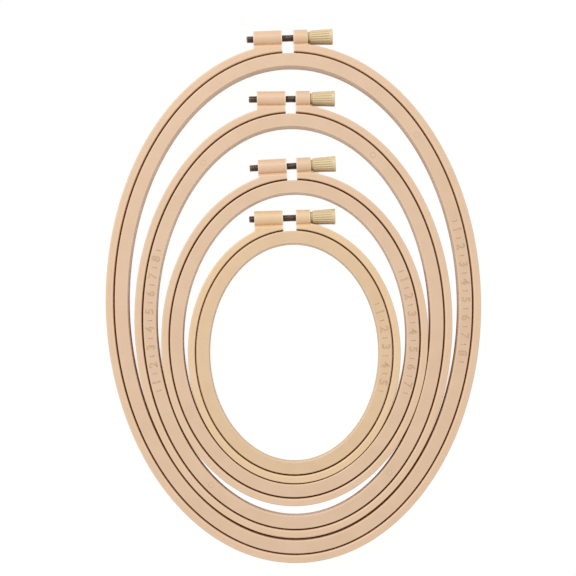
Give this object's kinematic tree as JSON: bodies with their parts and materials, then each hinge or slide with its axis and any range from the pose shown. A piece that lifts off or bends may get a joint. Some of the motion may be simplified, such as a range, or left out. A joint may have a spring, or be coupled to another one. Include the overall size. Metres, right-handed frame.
{
  "type": "nested oval embroidery hoop set",
  "caption": "Nested oval embroidery hoops in moulded plastic; each has an inner ring in a split outer ring drawn together by a clamp screw.",
  "frame": {"origin": "middle of the whole set in X and Y, on the surface that it lies on", "axes": "+X along the clamp screws towards the knobs, +Y up the long axis towards the clasps, +Z out of the front faces"},
  "size_m": [0.21, 0.2998, 0.009],
  "materials": {
    "hoop_plastic": "satin moulded plastic in a pinkish beige wood colour",
    "hoop_plastic_warm": "satin moulded plastic in a yellower beige wood colour",
    "knob_plastic": "ribbed moulded plastic in a pale straw colour",
    "blackened_steel": "black oxide threaded steel",
    "insert_brass": "plain turned brass"
  },
  "bodies": {
    "large_outer_right": {"large_outer_ring_right": "hoop_plastic"},
    "large_outer_left": {"large_outer_ring_left": "hoop_plastic", "large_thread_insert": "insert_brass"},
    "large_inner": {"large_inner_ring": "hoop_plastic"},
    "large_screw": {"large_clamp_screw": "blackened_steel", "large_knob": "knob_plastic"},
    "medium_outer_right": {"medium_outer_ring_right": "hoop_plastic"},
    "medium_outer_left": {"medium_outer_ring_left": "hoop_plastic", "medium_thread_insert": "insert_brass"},
    "medium_inner": {"medium_inner_ring": "hoop_plastic"},
    "medium_screw": {"medium_clamp_screw": "blackened_steel", "medium_knob": "knob_plastic"},
    "small_outer_right": {"small_outer_ring_right": "hoop_plastic"},
    "small_outer_left": {"small_outer_ring_left": "hoop_plastic", "small_thread_insert": "insert_brass"},
    "small_inner": {"small_inner_ring": "hoop_plastic"},
    "small_screw": {"small_clamp_screw": "blackened_steel", "small_knob": "knob_plastic"},
    "mini_outer_right": {"mini_outer_ring_right": "hoop_plastic_warm"},
    "mini_outer_left": {"mini_outer_ring_left": "hoop_plastic_warm", "mini_thread_insert": "insert_brass"},
    "mini_inner": {"mini_inner_ring": "hoop_plastic_warm"},
    "mini_screw": {"mini_clamp_screw": "blackened_steel", "mini_knob": "knob_plastic"}
  },
  "joints": [
    {"name": "large_screw_turn", "type": "hinge", "parent": "large_outer_right", "child": "large_screw", "pos_m": [-0.0032, 0.1446, 0.0045], "axis": [0.9994, 0.0349, 0], "range_deg": [-360.36, 1261.26]},
    {"name": "large_ring_flex", "type": "hinge", "parent": "large_outer_right", "child": "large_outer_left", "pos_m": [-0.00422, -0.14746, 0.0045], "axis": [0, 0, 1], "range_deg": [-0.13743, 0.48099]},
    {"name": "large_inner_ring_lift", "type": "slide", "parent": "large_outer_right", "child": "large_inner", "axis": [0, 0, 1], "range_m": [0, 0.015]},
    {"name": "medium_hoop_lift", "type": "slide", "parent": "large_outer_right", "child": "medium_outer_right", "axis": [0, 0, 1], "range_m": [0, 0.03]},
    {"name": "medium_screw_turn", "type": "hinge", "parent": "medium_outer_right", "child": "medium_screw", "pos_m": [-0.00153, 0.11041, 0.0045], "axis": [0.9999, 0.0105, 0], "range_deg": [-360.36, 990.99]},
    {"name": "medium_ring_flex", "type": "hinge", "parent": "medium_outer_right", "child": "medium_outer_left", "pos_m": [-0.00986, -0.13273, 0.0045], "axis": [0, 0, 1], "range_deg": [-0.16502, 0.45381]},
    {"name": "medium_inner_ring_lift", "type": "slide", "parent": "medium_outer_right", "child": "medium_inner", "axis": [0, 0, 1], "range_m": [0, 0.015]},
    {"name": "small_hoop_lift", "type": "slide", "parent": "large_outer_right", "child": "small_outer_right", "axis": [0, 0, 1], "range_m": [0, 0.03]},
    {"name": "small_screw_turn", "type": "hinge", "parent": "small_outer_right", "child": "small_screw", "pos_m": [-0.00103, 0.07268, 0.0045], "axis": [0.9985, 0.0541, 0], "range_deg": [-360.36, 360.36]},
    {"name": "small_ring_flex", "type": "hinge", "parent": "small_outer_right", "child": "small_outer_left", "pos_m": [-0.0015, -0.11598, 0.0045], "axis": [0, 0, 1], "range_deg": [-0.21293, 0.21293]},
    {"name": "small_inner_ring_lift", "type": "slide", "parent": "small_outer_right", "child": "small_inner", "axis": [0, 0, 1], "range_m": [0, 0.015]},
    {"name": "mini_hoop_lift", "type": "slide", "parent": "large_outer_right", "child": "mini_outer_right", "axis": [0, 0, 1], "range_m": [0, 0.03]},
    {"name": "mini_screw_turn", "type": "hinge", "parent": "mini_outer_right", "child": "mini_screw", "pos_m": [-0.00218, 0.04346, 0.0045], "axis": [0.9994, 0.0349, 0], "range_deg": [-360.36, 630.63]},
    {"name": "mini_ring_flex", "type": "hinge", "parent": "mini_outer_right", "child": "mini_outer_left", "pos_m": [-0.00871, -0.10226, 0.0045], "axis": [0, 0, 1], "range_deg": [-0.27582, 0.48269]},
    {"name": "mini_inner_ring_lift", "type": "slide", "parent": "mini_outer_right", "child": "mini_inner", "axis": [0, 0, 1], "range_m": [0, 0.015]}
  ],
  "couplings": [
    {"joint": "large_screw_turn", "follows": "large_ring_flex", "ratio": 2619.6},
    {"joint": "medium_screw_turn", "follows": "medium_ring_flex", "ratio": 2181.5},
    {"joint": "small_screw_turn", "follows": "small_ring_flex", "ratio": 1690.7},
    {"joint": "mini_screw_turn", "follows": "mini_ring_flex", "ratio": 1305.2}
  ]
}
